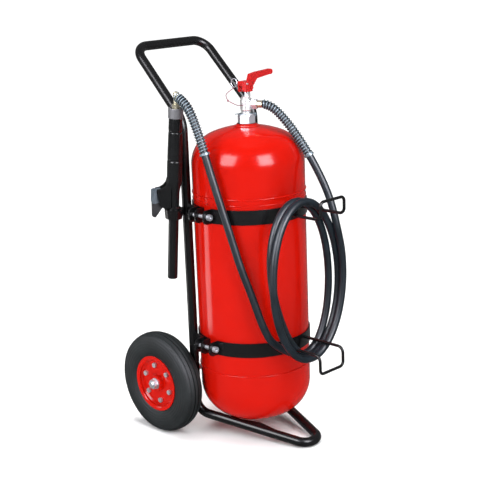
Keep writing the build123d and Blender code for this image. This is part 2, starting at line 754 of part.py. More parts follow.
LANYARD_ROUTE = [
    (-8, 33, 943.2),
    (-26, 42, 930),
    (-35, 30, 913),
    (-28, 8, 901),
    (-14.2, -7.6, 903),
]
save(round_bar(LANYARD_ROUTE, bend_radii(LANYARD_ROUTE), 1.0), "lanyard")

NUT_END = 30.0
with BuildPart() as valve_outlet_nut:
    with BuildSketch(OUTLET.offset(16)):
        RegularPolygon(radius=12, side_count=6, major_radius=False)
        Circle(7, mode=Mode.SUBTRACT)
    extrude(amount=NUT_END - 16)
save(valve_outlet_nut.part, "valve_outlet_nut")

FITTING_END = 44.8
with BuildPart() as valve_outlet_fitting:
    with BuildSketch(OUTLET.offset(NUT_END)):
        Circle(9.5)
        Circle(4.5, mode=Mode.SUBTRACT)
    extrude(amount=FITTING_END - NUT_END)
    fillet(valve_outlet_fitting.edges().filter_by(GeomType.CIRCLE).group_by(SortBy.RADIUS)[-1], 1.5)
save(valve_outlet_fitting.part, "valve_outlet_fitting")

# ---------------------------------------------------------------- hose
# from the valve down the front of the vessel into the coil
VALVE_ROUTE = [
    (22.4, -38.798, 902),
    (32.4, -56.118, 902),
    (51, -93, 861),
    (61, -133, 810),
    (81, -169, 739),
    (92, -194, 662),
    (98, -201, 600),
]
# from the bottom of the coil, round the vessel's left side and up to the gun
GUN_ROUTE = [
    (-62, -172, 262),
    (-100, -167, 300),
    (-118, -148, 352),
    (-126, -124, 428),
    (-142, -101, 505),
    (-153, -80, 590),
    (-164, -55, 680),
    (-171, -30, 764),
    (-176, -7, 840),
    (-177, 17, 894),
    (-177, 40, 923),
    (-177, 62, 934),
]
HOSE_SPLIT = 505.0
GUARD_GAP = 0.3

valve_path = hose_route(VALVE_ROUTE)
valve_run = sleeve_along(valve_path, 0, valve_path.length, HOSE_R)
report_hose("valve run", VALVE_ROUTE, [valve_run])
save(valve_run, "hose_valve_run")
VALVE_GUARD_END = 182.0
FERRULE = 6.0
save(sleeve_along(valve_path, 1, VALVE_GUARD_END, GUARD_R, HOSE_R + GUARD_GAP), "valve_hose_guard")
ferrule_start = VALVE_GUARD_END + 1
save(
    sleeve_along(valve_path, ferrule_start, ferrule_start + FERRULE, GUARD_R + 1, HOSE_R + GUARD_GAP),
    "valve_ferrule",
)

gun_path = hose_route(GUN_ROUTE)
gun_run = sleeve_along(gun_path, 0, HOSE_SPLIT, HOSE_R)
gun_tail = sleeve_along(gun_path, HOSE_SPLIT, gun_path.length, HOSE_R)
report_hose("gun run", GUN_ROUTE, [gun_run, gun_tail])
save(gun_run, "hose_gun_run")
save(gun_tail, "hose_gun_tail")
HOSE_END = gun_path @ 1
HOSE_END_DIR = gun_path % 1
guard_start = gun_path.length - 160
save(sleeve_along(gun_path, guard_start, gun_path.length - 1, GUARD_R, HOSE_R + GUARD_GAP), "gun_hose_guard")
save(
    sleeve_along(gun_path, guard_start - 1 - FERRULE, guard_start - 1, GUARD_R + 1, HOSE_R + GUARD_GAP),
    "gun_ferrule",
)

# the coil as one ring: two and a quarter turns of hose side by side
with BuildPart() as hose_coil:
    with BuildSketch(Plane.XZ.offset(-COIL_Y - COIL_DEPTH / 2)):
        with Locations((COIL_X, COIL_Z)):
            Ellipse(COIL_HALF_WIDTH + HOSE_R, COIL_HALF_HEIGHT + HOSE_R)
            Ellipse(COIL_HALF_WIDTH - HOSE_R, COIL_HALF_HEIGHT - HOSE_R, mode=Mode.SUBTRACT)
    extrude(amount=COIL_DEPTH)
    fillet(hose_coil.edges(), 6)
save(hose_coil.part, "hose_coil")

# ---------------------------------------------------------------- discharge gun and its holder
lean = radians(GUN_LEAN)
GUN = Plane(origin=(GUN_X, GUN_Y, GUN_Z), x_dir=(1, 0, 0), z_dir=(0, -sin(lean), cos(lean)))
GUN_AXIS = Axis(GUN.origin, GUN.z_dir)
heading = radians(TRIGGER_HEADING)
GRIP_DIR = GUN.x_dir * cos(heading) + GUN.y_dir * sin(heading)
GRIP = Plane(origin=GUN.origin, x_dir=GRIP_DIR, z_dir=GRIP_DIR.cross(GUN.z_dir))

CUP_TOP = 23.0
CUP_BOTTOM = -3.0
CONE_TOP_R = 19.0
CONE_BOTTOM_R = 13.2

with BuildPart() as gun_holder:
    with BuildSketch(Plane(origin=(0, UPRIGHT_Y, GUN_Z + 10), z_dir=(0, 0, 1))):
        with Locations((-148, 0)):
            Rectangle(14, 14)
    extrude(amount=9, both=True)
    with BuildSketch(GRIP):
        Polygon((0, CUP_BOTTOM), (22, CUP_BOTTOM), (25, CUP_TOP), (0, CUP_TOP), align=None)
    revolve(axis=GUN_AXIS)
    with BuildSketch(GRIP):
        Polygon(
            (0, CUP_BOTTOM - 1),
            (CONE_BOTTOM_R + 0.3, CUP_BOTTOM - 1),
            (CONE_BOTTOM_R + 0.3, CUP_BOTTOM),
            (CONE_TOP_R + 0.4, CUP_TOP),
            (CONE_TOP_R + 0.4, CUP_TOP + 1),
            (0, CUP_TOP + 1),
            align=None,
        )
    revolve(axis=GUN_AXIS, mode=Mode.SUBTRACT)
    with BuildSketch(Plane.XY.offset(GUN_Z - 40)):
        with Locations((-UPRIGHT_X, UPRIGHT_Y)):
            Circle(TUBE_R)
    extrude(amount=80, mode=Mode.SUBTRACT)
save(gun_holder.part, "gun_holder")

BARREL_TIP = -171.0
with BuildPart() as gun_barrel:
    with BuildSketch(GRIP):
        with BuildLine():
            Line((MUZZLE_BORE_R, BARREL_TIP), (BARREL_R - 3, BARREL_TIP))
            RadiusArc((BARREL_R - 3, BARREL_TIP), (BARREL_R, BARREL_TIP + 3), -3)
            Polyline(
                (BARREL_R, BARREL_TIP + 3),
                (BARREL_R, CUP_BOTTOM),
                (CONE_BOTTOM_R, CUP_BOTTOM),
                (CONE_TOP_R, CUP_TOP),
                (CONE_TOP_R, CUP_TOP + 3),
                (BARREL_BORE_R, CUP_TOP + 3),
                (BARREL_BORE_R, BARREL_TIP + MUZZLE_DEPTH),
                (MUZZLE_BORE_R, BARREL_TIP + MUZZLE_DEPTH),
                (MUZZLE_BORE_R, BARREL_TIP),
            )
        make_face()
    revolve(axis=GUN_AXIS)
save(gun_barrel.part, "gun_barrel")

COLLAR_LOW = 264.5
COLLAR_HIGH = 290.6
NECK_R = 14.0
STEM_R = 3.0
STEM_HEIGHT = 54.0
GRIP_HALF = 13.0
SLOT_HALF = 7.0
with BuildPart() as gun_body:
    with BuildSketch(GRIP):
        Polygon(
            (BARREL_BORE_R, CUP_TOP + 3),
            (CONE_TOP_R - 1, CUP_TOP + 3),
            (NECK_R, CUP_TOP + 7),
            (NECK_R, 68),
            (17, 84),
            (20, 98),
            (20, 150),
            (19, 153),
            (19, 156),
            (19.5, 158),
            (18.2, 226),
            (17.2, 228),
            (17.2, 231),
            (18, 233),
            (17.5, COLLAR_LOW),
            (16.5, COLLAR_LOW),
            (16.5, COLLAR_HIGH),
            (BARREL_BORE_R, COLLAR_HIGH),
            align=None,
        )
    revolve(axis=GUN_AXIS)
    with BuildSketch(GRIP):
        Polygon(
            (12, 112), (18, 104), (20.5, 95), (27, 87), (37, 81.5), (49, 79.5), (50, 74),
            (47, 62), (43, 44), (38, 34), (30, 27.5), (12, 27.5),
            align=None,
        )
    extrude(amount=GRIP_HALF, both=True)
    with BuildSketch(GRIP):
        Polygon((17.5, 20), (70, 20), (70, 120), (21, 120), (21, 50), (17.5, 46), align=None)
    extrude(amount=SLOT_HALF, both=True, mode=Mode.SUBTRACT)
    with BuildSketch(GRIP):
        with Locations(TRIGGER_PIVOT):
            Circle(2.5)
    extrude(amount=30, both=True, mode=Mode.SUBTRACT)
    with BuildSketch(Plane(origin=GUN.from_local_coords((0, 0, 26)), z_dir=GUN.z_dir)):
        Circle(BARREL_BORE_R)
    extrude(amount=265, mode=Mode.SUBTRACT)
    with BuildSketch(Plane(origin=GRIP.from_local_coords((-11.6, STEM_HEIGHT, 0)), z_dir=GRIP_DIR)):
        Circle(STEM_R + 0.05)
    extrude(amount=60, mode=Mode.SUBTRACT)
save(gun_body.part, "gun_body")

with BuildPart() as gun_collar:
    with BuildSketch(GRIP):
        Polygon(
            (16.5, COLLAR_LOW), (19, COLLAR_LOW), (19.5, COLLAR_LOW + 1), (19.5, COLLAR_HIGH - 1),
            (19, COLLAR_HIGH), (16.5, COLLAR_HIGH),
            align=None,
        )
    revolve(axis=GUN_AXIS)
save(gun_collar.part, "gun_collar")

# elbow from the gun's top to the hose: two arms that meet in a ball
ELBOW_HEIGHT = 324.8
ELBOW = GUN.from_local_coords((0, 0, ELBOW_HEIGHT))
with BuildPart() as gun_inlet:
    with BuildSketch(Plane(origin=GUN.from_local_coords((0, 0, COLLAR_HIGH)), z_dir=GUN.z_dir)):
        RegularPolygon(radius=10, side_count=6)
    extrude(amount=10)
    with BuildSketch(Plane(origin=GUN.from_local_coords((0, 0, COLLAR_HIGH + 5)), z_dir=GUN.z_dir)):
        Circle(6.8)
    extrude(amount=ELBOW_HEIGHT - COLLAR_HIGH - 5)
    with Locations(ELBOW):
        Sphere(8.2)
    with BuildSketch(Plane(origin=HOSE_END, z_dir=HOSE_END_DIR)):
        Circle(7.5)
    extrude(amount=(ELBOW - HOSE_END).length)
save(gun_inlet.part, "gun_inlet")

with BuildPart() as gun_stem:
    with BuildSketch(Plane(origin=GRIP.from_local_coords((-5, STEM_HEIGHT, 0)), z_dir=GRIP_DIR)):
        Circle(STEM_R)
    extrude(amount=32)
save(gun_stem.part, "gun_stem")

TRIGGER_HALF = 6.6
with BuildPart() as gun_trigger:
    with BuildSketch(GRIP):
        Polygon(
            (27.3, 60), (32, 74), (38, 80.5), (51, 79), (59.5, 76), (59.5, 40), (58, 5), (51, 4),
            (43, 15), (36, 25), (29, 33), (27.3, 48),
            align=None,
        )
    extrude(amount=TRIGGER_HALF, both=True)
    across = gun_trigger.edges().filter_by(Axis(GRIP.origin, GRIP.z_dir))
    fillet(across.filter_by(lambda e: e.center().Z < GUN_Z + 20), 1.5)
    # the finger pad in front of the housing is as wide as the housing
    with BuildSketch(GRIP):
        Polygon((51.5, 78.8), (59.5, 76), (59.5, 43), (51.5, 41), align=None)
    extrude(amount=GRIP_HALF - 0.5, both=True)
    with BuildSketch(GRIP):
        with Locations(TRIGGER_PIVOT):
            Circle(2.55)
    extrude(amount=20, both=True, mode=Mode.SUBTRACT)
save(gun_trigger.part, "gun_trigger")

with BuildPart() as trigger_pin:
    with BuildSketch(GRIP):
        with Locations(TRIGGER_PIVOT):
            Circle(2.5)
    extrude(amount=GRIP_HALF + 1, both=True)
    for start in (-GRIP_HALF - 2.3, GRIP_HALF + 0.3):
        with BuildSketch(GRIP.offset(start)):
            with Locations(TRIGGER_PIVOT):
                Circle(4)
        extrude(amount=2)
save(trigger_pin.part, "trigger_pin")
print("gun axis", GUN.z_dir, "grip direction", GRIP_DIR, "hinge axis", GRIP.z_dir)
print("trigger pivot", GRIP.from_local_coords(TRIGGER_PIVOT), "muzzle", GUN.from_local_coords((0, 0, BARREL_TIP)))
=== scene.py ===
"""Wheeled fire extinguisher: looks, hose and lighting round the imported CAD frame. Metres, +Z up."""

import json
from math import cos, pi, radians, sin

import bmesh
import bpy
from mathutils import Matrix, Vector


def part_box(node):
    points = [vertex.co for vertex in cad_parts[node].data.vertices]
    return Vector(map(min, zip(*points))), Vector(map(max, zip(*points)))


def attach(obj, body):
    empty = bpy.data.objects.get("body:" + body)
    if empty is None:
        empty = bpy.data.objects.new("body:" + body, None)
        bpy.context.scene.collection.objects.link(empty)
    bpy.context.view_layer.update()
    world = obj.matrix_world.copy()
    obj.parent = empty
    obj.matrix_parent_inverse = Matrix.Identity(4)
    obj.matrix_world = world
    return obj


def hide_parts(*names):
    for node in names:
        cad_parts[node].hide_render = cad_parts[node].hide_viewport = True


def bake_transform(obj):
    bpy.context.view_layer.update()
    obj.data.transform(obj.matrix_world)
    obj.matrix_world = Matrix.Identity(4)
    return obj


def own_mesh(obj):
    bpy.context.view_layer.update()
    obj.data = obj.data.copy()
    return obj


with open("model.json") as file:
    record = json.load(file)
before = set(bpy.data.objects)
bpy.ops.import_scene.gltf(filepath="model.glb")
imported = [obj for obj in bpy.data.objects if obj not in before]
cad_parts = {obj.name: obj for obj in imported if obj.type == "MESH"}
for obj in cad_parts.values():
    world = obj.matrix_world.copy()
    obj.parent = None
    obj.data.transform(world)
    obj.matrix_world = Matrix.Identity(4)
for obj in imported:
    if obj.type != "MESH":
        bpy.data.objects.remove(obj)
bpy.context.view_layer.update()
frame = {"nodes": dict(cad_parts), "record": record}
NODES = frame["nodes"]

# ---------------------------------------------------------------- sizes, in metres
HOSE_R = 0.010
# wire guards over the hose's two ends
GUARD_WIRE_R = 0.0016
GUARD_HELIX_R = 0.0115
GUARD_PITCH = 0.0076
VALVE_GUARD_LENGTH = 0.182
GUN_GUARD_LENGTH = 0.158
GUN_GUARD_OVERHANG = 0.008
VALVE_GUARD_START = 0.002
WIRE_STEPS = 14
# the coil that hangs on the two hooks
COIL_CENTRE = Vector((-0.007, 0.0, 0.459))
COIL_HALF_WIDTH = 0.133
COIL_HALF_HEIGHT = 0.214
COIL_FRONT_Y = -0.2185
COIL_BACK_Y = -0.1735
COIL_NARROWING = 0.07
COIL_LEAN = 0.018
COIL_START_DEG = 36
COIL_STEP_DEG = 22.5
COIL_POINTS = 39
# how far each turn strays sideways from the neat coil at its right and left sides, and how
# far below mid-height, in radians, it strays most
RIGHT_STRAY = (0.0, 0.007, -0.009)
RIGHT_STRAY_TURN = 0.35
LEFT_STRAY = (0.0, 0.024, 0.0)
LEFT_STRAY_TURN = 0.7
# lower edge of the finger pad on the trigger
PAD_FOOT_Z = 0.664
# lanyard
CORD_R = 0.001
KNOT_R = 0.0022
KNOT = Vector((-0.035, 0.030, 0.913))
# spring under the valve's piston
SPRING_WIRE_R = 0.0006
SPRING_HELIX_R = 0.00475
SPRING_TURNS = 8
# camera, light and floor
CAMERA_PLACE = (-2.1341, -2.1198, 1.3063)
CAMERA_LENS = 83.2
CAMERA_AZIMUTH_DEG = -45
CAMERA_ELEVATION_DEG = 14.85
CAMERA_ROLL_DEG = -2.18
FLOOR_HALF = 80
WINDOW_SIZE = (1.35, 1.6)
WINDOW_TARGET = (0, 0, 0.7)
WINDOW_PLACES = (("left", (-2.40, -0.10, 1.95)), ("front", (-0.35, -2.50, 1.90)))
WINDOW_POWER = 52
SHINE_POWER = 380
SHINE_TINT = (0.94, 0.93, 1.05)
SUN_STRENGTH = 3.4
SUN_SPREAD_DEG = 40
STRIP_PLACE = (-0.66, 0.87, 0.24)
STRIP_TARGET = (-0.149, 0.015, 0.4)
STRIP_SIZE = (0.28, 0.5)
STRIP_POWER = 1.5
ROOM_STRENGTH = 0.2


# ---------------------------------------------------------------- camera
def make_camera():
    """A long lens at the vessel's front left, a little above the handle and tilted down."""
    azimuth = radians(CAMERA_AZIMUTH_DEG)
    elevation = radians(CAMERA_ELEVATION_DEG)
    roll = radians(CAMERA_ROLL_DEG)
    back = Vector((sin(azimuth) * cos(elevation), -cos(azimuth) * cos(elevation), sin(elevation)))
    level = Vector((cos(azimuth), sin(azimuth), 0))
    up = back.cross(level)
    side = level * cos(roll) + up * sin(roll)
    top = up * cos(roll) - level * sin(roll)
    camera = bpy.data.objects.new("camera", bpy.data.cameras.new("camera"))
    bpy.context.scene.collection.objects.link(camera)
    camera.data.lens = CAMERA_LENS
    camera.data.sensor_width = 36
    camera.data.clip_end = 50
    turn = Matrix((side, top, back)).transposed().to_4x4()
    camera.matrix_world = Matrix.Translation(CAMERA_PLACE) @ turn
    bpy.context.scene.camera = camera


make_camera()


# ---------------------------------------------------------------- material helpers
class Shader:
    """A node material under construction, with short calls for the nodes used here."""

    def __init__(self, name, roughness, metallic=0.0, **sockets):
        self.material = bpy.data.materials.new(name)
        self.material.use_nodes = True
        self.tree = self.material.node_tree
        self.surface = self.tree.nodes["Principled BSDF"]
        self.surface.inputs["Roughness"].default_value = roughness
        self.surface.inputs["Metallic"].default_value = metallic
        for socket, value in sockets.items():
            self.surface.inputs[socket.replace("_", " ")].default_value = value
        self.place = self.node("ShaderNodeTexCoord").outputs["Object"]

    def node(self, kind, **settings):
        made = self.tree.nodes.new(kind)
        for key, value in settings.items():
            setattr(made, key, value)
        return made

    def link(self, source, target):
        self.tree.links.new(source, target)

    def noise(self, scale, detail=4.0, stretch=(1, 1, 1)):
        mapping = self.node("ShaderNodeMapping")
        mapping.inputs["Scale"].default_value = stretch
        self.link(self.place, mapping.inputs["Vector"])
        made = self.node("ShaderNodeTexNoise")
        made.inputs["Scale"].default_value = scale
        made.inputs["Detail"].default_value = detail
        self.link(mapping.outputs["Vector"], made.inputs["Vector"])
        return made.outputs["Fac"]

    def ramp(self, source, stops):
        made = self.node("ShaderNodeValToRGB")
        ramp = made.color_ramp
        while len(ramp.elements) < len(stops):
            ramp.elements.new(0.5)
        for element, (position, colour) in zip(ramp.elements, stops):
            element.position = position
            element.color = (*colour, 1)
        self.link(source, made.inputs["Fac"])
        return made.outputs["Color"]

    def mix(self, factor, first, second):
        made = self.node("ShaderNodeMix", data_type="RGBA")
        self.link(factor, made.inputs["Factor"])
        for value, socket in ((first, made.inputs[6]), (second, made.inputs[7])):
            if isinstance(value, tuple):
                socket.default_value = (*value, 1)
            else:
                self.link(value, socket)
        return made.outputs[2]

    def spread(self, source, low, high):
        made = self.node("ShaderNodeMapRange")
        made.inputs["To Min"].default_value = low
        made.inputs["To Max"].default_value = high
        self.link(source, made.inputs["Value"])
        return made.outputs["Result"]

    def roughness(self, source, low, high):
        self.link(self.spread(source, low, high), self.surface.inputs["Roughness"])

    def colour(self, source):
        self.link(source, self.surface.inputs["Base Color"])

    def bump(self, layers):
        """Stacks (height, strength, distance in metres) layers into the normal."""
        normal = None
        for height, strength, distance in layers:
            made = self.node("ShaderNodeBump")
            made.inputs["Strength"].default_value = strength
            made.inputs["Distance"].default_value = distance
            self.link(height, made.inputs["Height"])
            if normal is not None:
                self.link(normal, made.inputs["Normal"])
            normal = made.outputs["Normal"]
        self.link(normal, self.surface.inputs["Normal"])


DUST_COLOUR = (0.5, 0.48, 0.46)


def shade(colour, factor):
    return tuple(min(1.0, c * factor) for c in colour)


def gloss_paint(name, colour, roughness=0.16, specular=0.3, peel=0.05, dust=0.0):
    """Sprayed enamel: faint orange peel, slow colour drift and clouds in its gloss."""
    paint = Shader(name, roughness, Specular_IOR_Level=specular)
    drift = paint.noise(3.5, 3)
    base = paint.ramp(drift, [(0.3, shade(colour, 0.93)), (0.7, shade(colour, 1.05))])
    if dust:
        specks = paint.ramp(paint.noise(160, 2), [(0.62, (0, 0, 0)), (0.8, (dust, dust, dust))])
        base = paint.mix(specks, base, DUST_COLOUR)
    paint.colour(base)
    paint.roughness(paint.noise(14, 5), roughness * 0.75, roughness * 1.35)
    paint.bump([(paint.noise(260, 2), peel, 0.0006), (paint.noise(900, 1), peel * 0.4, 0.0003)])
    return paint.material


def brushed_metal(name, colour, roughness=0.3, scale=(1, 1, 14), grime=0.25, metallic=1.0):
    """Turned or plated steel: fine streaks in one direction with a little grime between."""
    metal = Shader(name, roughness, metallic)
    streaks = metal.noise(340, 4, scale)
    cloud = metal.noise(30, 4)
    base = metal.ramp(streaks, [(0.3, shade(colour, 0.86)), (0.7, shade(colour, 1.08))])
    patches = metal.ramp(cloud, [(0.45, (0, 0, 0)), (0.8, (grime,) * 3)])
    metal.colour(metal.mix(patches, base, shade(colour, 0.45)))
    metal.roughness(streaks, roughness * 0.7, roughness * 1.4)
    metal.bump([(streaks, 0.12, 0.0002)])
    return metal.material


def rubber(name, colour, roughness=0.5, grain=700, weave=0.0):
    """Moulded rubber: lighter patches, partly dust and partly painted sheen, over a fine grain."""
    skin = Shader(name, roughness, Specular_IOR_Level=0.3)
    cloud = skin.noise(22, 5)
    skin.colour(skin.ramp(cloud, [(0.3, shade(colour, 0.75)), (0.75, shade(colour, 1.6))]))
    skin.roughness(skin.noise(60, 4), roughness * 0.8, roughness * 1.25)
    layers = [(skin.noise(grain, 3), 0.18, 0.0004)]
    if weave:
        wave = skin.node("ShaderNodeTexWave", wave_type="BANDS", bands_direction="DIAGONAL")
        wave.inputs["Scale"].default_value = weave
        skin.link(skin.place, wave.inputs["Vector"])
        layers.append((wave.outputs["Fac"], 0.06, 0.0003))
    skin.bump(layers)
    return skin.material


def plastic(name, colour, roughness=0.28, grain=420, strength=0.08):
    """Moulded plastic: eggshell texture and small colour drift."""
    skin = Shader(name, roughness, Specular_IOR_Level=0.35)
    skin.colour(skin.ramp(skin.noise(9, 3), [(0.3, shade(colour, 0.85)), (0.7, shade(colour, 1.2))]))
    skin.roughness(skin.noise(35, 4), roughness * 0.75, roughness * 1.3)
    skin.bump([(skin.noise(grain, 3), strength, 0.0004)])
    return skin.material


def trigger_plastic(name):
    """Black nylon with a blue-grey finger pad moulded over its upper part."""
    skin = Shader(name, 0.36)
    height = skin.node("ShaderNodeSeparateXYZ")
    skin.link(skin.place, height.inputs["Vector"])
    above = skin.node("ShaderNodeMath", operation="GREATER_THAN")
    above.inputs[1].default_value = PAD_FOOT_Z
    skin.link(height.outputs["Z"], above.inputs[0])
    cloud = skin.noise(60, 4)
    black = skin.ramp(cloud, [(0.3, (0.004, 0.004, 0.0045)), (0.7, (0.008, 0.008, 0.009))])
    pad = skin.ramp(cloud, [(0.3, (0.045, 0.062, 0.080)), (0.7, (0.075, 0.098, 0.122))])
    skin.colour(skin.mix(above.outputs["Value"], black, pad))
    skin.roughness(skin.noise(35, 4), 0.3, 0.5)
    skin.bump([(skin.noise(420, 3), 0.12, 0.0004)])
    return skin.material


def tyre_rubber(name, centre):
    """Tyre: moulded rings on the sidewall, a fine grain and a cloudy dark tone."""
    skin = Shader(name, 0.62, Specular_IOR_Level=0.2)
    shift = skin.node("ShaderNodeVectorMath", operation="SUBTRACT")
    shift.inputs[1].default_value = centre
    skin.link(skin.place, shift.inputs[0])
    parts = skin.node("ShaderNodeSeparateXYZ")
    skin.link(shift.outputs["Vector"], parts.inputs["Vector"])
    flat = skin.node("ShaderNodeCombineXYZ")
    skin.link(parts.outputs["Y"], flat.inputs["X"])
    skin.link(parts.outputs["Z"], flat.inputs["Y"])
    radius = skin.node("ShaderNodeVectorMath", operation="LENGTH")
    skin.link(flat.outputs["Vector"], radius.inputs[0])
    rings = skin.node("ShaderNodeMath", operation="SINE")
    per_metre = skin.node("ShaderNodeMath", operation="MULTIPLY")
    per_metre.inputs[1].default_value = 2 * pi / 0.0075
    skin.link(radius.outputs["Value"], per_metre.inputs[0])
    skin.link(per_metre.outputs["Value"], rings.inputs[0])
    cloud = skin.noise(18, 5)
    skin.colour(skin.ramp(cloud, [(0.35, (0.004, 0.0065, 0.0065)), (0.8, (0.011, 0.0155, 0.0155))]))
    skin.roughness(skin.noise(40, 4), 0.5, 0.72)
    skin.bump([(rings.outputs["Value"], 0.25, 0.0007), (skin.noise(420, 3), 0.2, 0.0005)])
    return skin.material


RED = (0.48, 0.005, 0.0012)
BLACK = (0.004, 0.004, 0.0045)
MATERIALS = {
    "red_paint": gloss_paint("red_enamel", RED, 0.12, 0.24),
    "black_paint": gloss_paint("black_enamel", BLACK, 0.2, 0.4, 0.03, 0.01),
    "zinc_steel": brushed_metal(
        "zinc_plated_steel", (0.56, 0.57, 0.59), 0.34, grime=0.15, metallic=0.85
    ),
    "spring_steel": brushed_metal("spring_steel", (0.11, 0.145, 0.165), 0.38, (1, 1, 1), 0.3, 0.35),
    "nickel": brushed_metal("nickel_plate", (0.82, 0.81, 0.79), 0.27, (1, 1, 6), 0.08, 0.8),
    "brass": brushed_metal("pale_brass", (0.50, 0.47, 0.33), 0.34, (1, 1, 4), 0.3),
    "hose_rubber": rubber("hose_rubber", (0.005, 0.0095, 0.014), 0.34, 500, 120),
    "gasket_rubber": rubber("gasket_rubber", (0.02, 0.02, 0.02)),
    "black_plastic": plastic("black_nylon", (0.005, 0.0055, 0.006), 0.2),
    "grey_plastic": plastic("grey_nylon", (0.12, 0.12, 0.13), 0.42, 300, 0.15),
    "trigger_plastic": trigger_plastic("trigger_nylon"),
    "red_lever": gloss_paint("red_lever_enamel", (0.45, 0.010, 0.010), 0.24, 0.25, 0.1),
    "plastic_tube": plastic("clear_grey_tube", (0.7, 0.7, 0.66), 0.3),
    "agent_powder": plastic("powder", (0.6, 0.55, 0.35), 0.9, 900, 0.6),
    "red_cord": rubber("red_cord", (0.15, 0.008, 0.03), 0.7, 1500, 900),
}
for record_part in frame["record"]["subparts"]:
    node = NODES[record_part["node"]]
    if record_part["material_slot"] == "tyre_rubber":
        low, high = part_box(record_part["node"])
        material = tyre_rubber(record_part["node"] + "_rubber", (low + high) / 2)
    elif record_part["node"].endswith("_ferrule"):
        material = MATERIALS["spring_steel"]
    else:
        material = MATERIALS[record_part["material_slot"]]
    for material_slot in node.material_slots:
        material_slot.material = material


# ---------------------------------------------------------------- hose and lanyard
def spline_object(name, points, radius, resolution=12):
    """A smooth open NURBS tube with these points as its control points."""
    curve = bpy.data.curves.new(name, "CURVE")
    curve.dimensions = "3D"
    curve.resolution_u = resolution
    spline = curve.splines.new("NURBS")
    spline.points.add(len(points) - 1)
    for control, point in zip(spline.points, points):
        control.co = (*point, 1)
    spline.order_u = 3
    spline.use_endpoint_u = True
    curve.bevel_depth = radius
    curve.bevel_resolution = 6
    curve.use_fill_caps = True
    made = bpy.data.objects.new(name, curve)
    bpy.context.scene.collection.objects.link(made)
    return made


def centreline(curve_object):
    """Points along a spline's own line."""
    radius = curve_object.data.bevel_depth
    curve_object.data.bevel_depth = 0
    bpy.context.view_layer.update()
    mesh = bpy.data.meshes.new_from_object(curve_object)
    points = [vertex.co.copy() for vertex in mesh.vertices]
    bpy.data.meshes.remove(mesh)
    curve_object.data.bevel_depth = radius
    return points


def mesh_tube(curve_object, material):
    """The curve as a smooth mesh tube, and the points it follows."""
    path = centreline(curve_object)
    bpy.context.view_layer.update()
    mesh = bpy.data.meshes.new_from_object(curve_object)
    name = curve_object.name
    bpy.data.objects.remove(curve_object)
    made = bpy.data.objects.new(name, mesh)
    bpy.context.scene.collection.objects.link(made)
    mesh.materials.clear()
    mesh.materials.append(material)
    mesh.shade_smooth()
    return made, path


def length_of(points):
    return sum((b - a).length for a, b in zip(points, points[1:]))


def coil_points():
    """Two and a third turns that hang on the upper hook, from the front strand to the back one."""
    points = []
    for index in range(COIL_POINTS):
        share = index / (COIL_POINTS - 1)
        angle = radians(COIL_START_DEG - index * COIL_STEP_DEG)
        half_width = COIL_HALF_WIDTH * (1 - COIL_NARROWING * share)
        turn = index * COIL_STEP_DEG / 360
        rightmost = round(turn - COIL_START_DEG / 360)
        right = RIGHT_STRAY[rightmost] * max(0.0, cos(angle + RIGHT_STRAY_TURN)) ** 2
        left = LEFT_STRAY[int(turn)] * max(0.0, -cos(angle - LEFT_STRAY_TURN)) ** 2
        lean = COIL_LEAN * share * sin(angle)
        x = COIL_CENTRE.x + half_width * cos(angle) - lean + right + left
        z = COIL_CENTRE.z + COIL_HALF_HEIGHT * sin(angle)
        points.append(Vector((x, COIL_FRONT_Y + (COIL_BACK_Y - COIL_FRONT_Y) * share, z)))
    return points


VALVE_ROUTE = [
    (0.0224, -0.0388, 0.902),
    (0.0324, -0.0561, 0.902),
    (0.051, -0.093, 0.861),
    (0.061, -0.133, 0.810),
    (0.081, -0.169, 0.739),
    (0.096, -0.200, 0.662),
]
GUN_ROUTE = [
    (-0.100, -0.167, 0.300),
    (-0.118, -0.148, 0.352),
    (-0.126, -0.124, 0.428),
    (-0.142, -0.101, 0.505),
    (-0.153, -0.080, 0.590),
    (-0.164, -0.055, 0.680),
    (-0.171, -0.030, 0.764),
    (-0.176, -0.007, 0.840),
    (-0.177, 0.017, 0.894),
    (-0.177, 0.040, 0.923),
    (-0.177, 0.062, 0.934),
]
hose_curve = spline_object("hose", [*VALVE_ROUTE, *coil_points(), *GUN_ROUTE], HOSE_R)
hose, hose_path = mesh_tube(hose_curve, MATERIALS["hose_rubber"])
HOSE_LENGTH = length_of(hose_path)


def travelled(path):
    """Distance from the start at each point of a path."""
    distances = [0.0]
    for before, after in zip(path, path[1:]):
        distances.append(distances[-1] + (after - before).length)
    return distances


def wire_guard(name, path, start, end):
    """An open coil of spring wire wound round the hose between two distances along it."""
    distances = travelled(path)
    side = Vector((1, 0, 0))
    turns = []
    step = GUARD_PITCH / WIRE_STEPS
    count = int((end - start) / step)
    segment = 0
    for index in range(count + 1):
        distance = start + index * step
        while segment < len(path) - 2 and distances[segment + 1] < distance:
            segment += 1
        run = path[segment + 1] - path[segment]
        share = (distance - distances[segment]) / max(run.length, 1e-9)
        centre = path[segment] + run * share
        forward = run.normalized()
        side = (side - forward * side.dot(forward)).normalized()
        other = forward.cross(side)
        angle = 2 * pi * index / WIRE_STEPS
        turns.append(centre + (side * cos(angle) + other * sin(angle)) * GUARD_HELIX_R)
    made = spline_object(name, turns, GUARD_WIRE_R, 2)
    made.data.bevel_resolution = 3
    made.data.materials.append(MATERIALS["spring_steel"])
    return made


valve_guard = wire_guard("valve_guard_wire", hose_path, VALVE_GUARD_START, VALVE_GUARD_LENGTH)
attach(valve_guard, "root")
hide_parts("valve_hose_guard")
